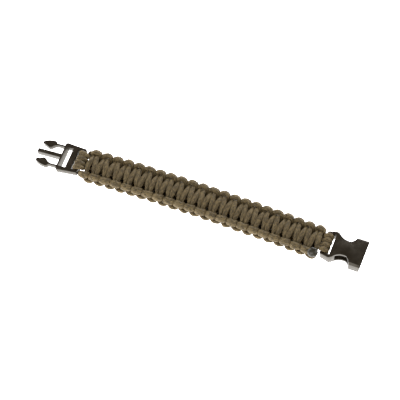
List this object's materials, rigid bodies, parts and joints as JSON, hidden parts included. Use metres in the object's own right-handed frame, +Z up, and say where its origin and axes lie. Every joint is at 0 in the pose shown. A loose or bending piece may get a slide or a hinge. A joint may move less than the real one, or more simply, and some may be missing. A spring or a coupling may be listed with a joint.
{
  "type": "paracord bracelet",
  "caption": "Open woven cord bracelet lying flat: cobra weave of two strands over a two cord core, with a side release buckle half looped on at each end.",
  "frame": {"origin": "centre of the bracelet's box in X and Y, on the surface it lies on", "axes": "+X along the bracelet from the prong half to the socket half, +Y across the weave, +Z up, out of the weave's face"},
  "size_m": [0.238, 0.0268, 0.0106],
  "materials": {
    "buckle_plastic": "satin moulded dark brown plastic",
    "cord_sheath": "braided nylon sheath, olive brown",
    "melted_nylon": "melted and set nylon, glossy grey olive"
  },
  "bodies": {
    "root": {"prong_half": "buckle_plastic", "socket_half": "buckle_plastic", "face_strand": "cord_sheath", "back_strand": "cord_sheath", "core_strands": "cord_sheath", "melted_end": "melted_nylon"}
  },
  "joints": []
}
